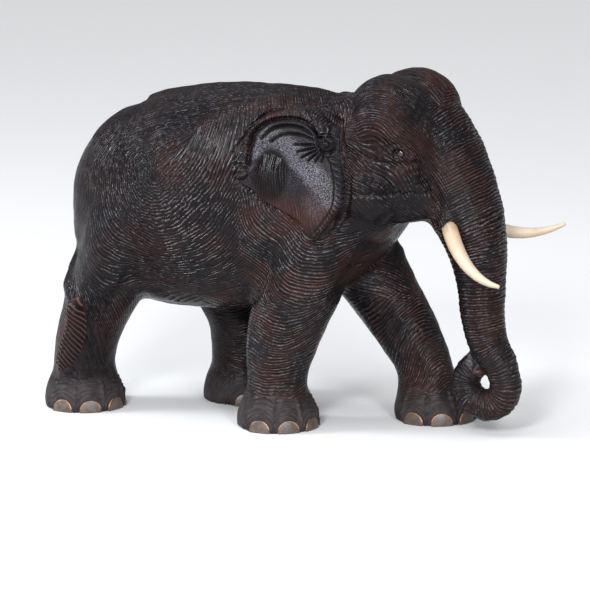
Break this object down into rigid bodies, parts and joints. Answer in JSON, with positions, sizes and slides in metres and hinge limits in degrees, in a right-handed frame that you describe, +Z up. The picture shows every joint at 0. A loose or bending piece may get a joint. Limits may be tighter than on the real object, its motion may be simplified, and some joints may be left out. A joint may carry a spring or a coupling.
{
  "type": "carved wooden elephant figurine",
  "caption": "Dark lacquered wooden elephant carved all over with fine gouge lines, walking with its trunk curled down, with pale tusks and brown toenails let in.",
  "frame": {"origin": "on the floor under the middle of the carving's bounding box", "axes": "+X toward the elephant's head, +Z up, the elephant's right side at -Y"},
  "size_m": [0.3765, 0.1356, 0.2599],
  "materials": {
    "carved_wood": "near-black lacquer over fine gouge lines, reddish brown where worn",
    "tusk": "smooth warm ivory colour, satin",
    "toenail": "brown, lightly polished",
    "eye": "polished black"
  },
  "bodies": {
    "root": {"rear_block": "carved_wood", "front_block": "carved_wood", "tusk_right": "tusk", "tusk_left": "tusk", "eye_right": "eye", "eye_left": "eye", "nail_front_right_1": "toenail", "nail_front_right_2": "toenail", "nail_front_right_3": "toenail", "nail_front_right_4": "toenail", "nail_front_right_5": "toenail", "nail_front_left_1": "toenail", "nail_front_left_2": "toenail", "nail_front_left_3": "toenail", "nail_front_left_4": "toenail", "nail_front_left_5": "toenail", "nail_hind_right_1": "toenail", "nail_hind_right_2": "toenail", "nail_hind_right_3": "toenail", "nail_hind_right_4": "toenail", "nail_hind_left_1": "toenail", "nail_hind_left_2": "toenail", "nail_hind_left_3": "toenail", "nail_hind_left_4": "toenail"}
  },
  "joints": []
}
